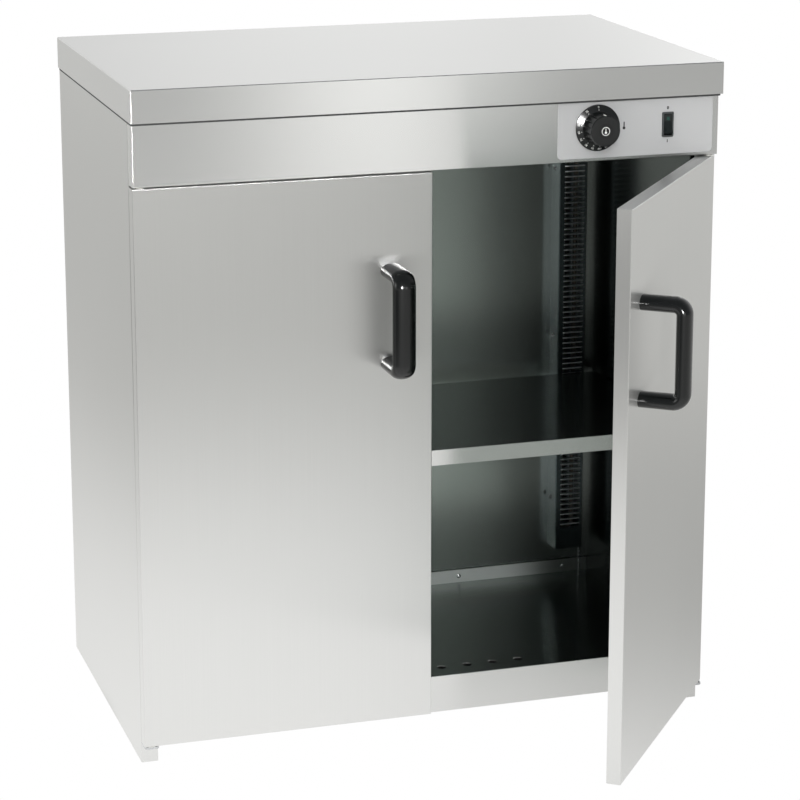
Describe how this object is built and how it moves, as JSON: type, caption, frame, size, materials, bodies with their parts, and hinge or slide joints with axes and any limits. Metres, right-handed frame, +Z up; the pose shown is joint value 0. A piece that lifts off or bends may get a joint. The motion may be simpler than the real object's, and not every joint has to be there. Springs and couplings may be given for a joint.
{
  "type": "plate warmer cabinet",
  "caption": "Stainless plate warming cabinet on short feet, with hinged doors, bow handles, a loose shelf, louvred heater ducts, a thermostat dial and a rocker switch.",
  "frame": {"origin": "on the floor, in the middle of the width, on the outer face of the back panel, where the cabinet stands against a wall", "axes": "+X to the right as seen from the front, +Y from front to back, +Z up"},
  "size_m": [0.75, 0.7586, 0.85],
  "materials": {
    "brushed_stainless": "satin, brushed along one direction",
    "lining_stainless": "plain mill finish",
    "control_plate_aluminium": "matte lacquered",
    "black_plastic": "moulded, satin",
    "rocker_gloss": "glossy, slightly green",
    "mineral_wool": "felted",
    "heater_sheath": "dull, heat tinted",
    "plated_steel": "bright zinc plate",
    "nylon": "moulded, off-white",
    "thermostat_body": "moulded",
    "copper_capillary": "drawn copper",
    "rubber": "matte",
    "ferrite": "sintered, matte"
  },
  "bodies": {
    "cabinet": {"worktop": "brushed_stainless", "worktop_stiffeners": "lining_stainless", "back_panel": "brushed_stainless", "back_rivets": "plated_steel", "floor_pan": "lining_stainless", "rear_upstand": "lining_stainless", "upstand_screws": "plated_steel", "inner_back": "lining_stainless", "ceiling": "lining_stainless", "fascia": "brushed_stainless", "control_plate": "control_plate_aluminium", "thermostat": "thermostat_body", "capillary": "copper_capillary", "capillary_grommet": "rubber", "bulb_clips": "plated_steel", "switch_housing": "black_plastic", "rail_screws": "plated_steel", "duct_screws": "plated_steel", "duct_stays": "plated_steel", "terminal_block": "nylon", "cable_gland": "black_plastic", "gland_locknut": "black_plastic", "hinge_plates": "plated_steel", "hinge_tabs": "plated_steel", "hinge_pins": "plated_steel", "left_side_panel": "brushed_stainless", "right_side_panel": "brushed_stainless", "left_side_liner": "lining_stainless", "right_side_liner": "lining_stainless", "left_side_insulation": "mineral_wool", "right_side_insulation": "mineral_wool", "left_shelf_rail": "lining_stainless", "right_shelf_rail": "lining_stainless", "left_duct": "lining_stainless", "right_duct": "lining_stainless", "left_heating_element": "heater_sheath", "right_heating_element": "heater_sheath"},
    "left_door": {"left_door_skin": "brushed_stainless", "left_door_back": "lining_stainless", "left_door_core": "mineral_wool", "left_door_bushes": "nylon", "left_handle": "black_plastic", "left_handle_screws": "plated_steel", "left_magnet_holder": "black_plastic", "left_door_magnet": "ferrite"},
    "right_door": {"right_door_skin": "brushed_stainless", "right_door_back": "lining_stainless", "right_door_core": "mineral_wool", "right_door_bushes": "nylon", "right_handle": "black_plastic", "right_handle_screws": "plated_steel", "right_magnet_holder": "black_plastic", "right_door_magnet": "ferrite"},
    "dial": {"dial": "black_plastic", "dial_cap": "black_plastic", "dial_shaft": "plated_steel"},
    "rocker": {"rocker": "rocker_gloss"},
    "shelf": {"shelf": "lining_stainless"}
  },
  "joints": [
    {"name": "left_door_hinge", "type": "hinge", "parent": "cabinet", "child": "left_door", "pos_m": [-0.3635, -0.4445, 0.38], "axis": [0, 0, -1], "range_deg": [0, 175]},
    {"name": "right_door_hinge", "type": "hinge", "parent": "cabinet", "child": "right_door", "pos_m": [0.3635, -0.4445, 0.38], "axis": [0, 0, 1], "range_deg": [-52, 123]},
    {"name": "dial_turn", "type": "hinge", "parent": "cabinet", "child": "dial", "pos_m": [0.211, -0.46, 0.7745], "axis": [0, 1, 0], "range_deg": [0, 270]},
    {"name": "rocker_tilt", "type": "hinge", "parent": "cabinet", "child": "rocker", "pos_m": [0.3042, -0.449, 0.7738], "axis": [1, 0, 0], "range_deg": [0, 20]},
    {"name": "shelf_lift", "type": "slide", "parent": "cabinet", "child": "shelf", "axis": [0, 0, 1], "range_m": [0, 0.1]}
  ]
}
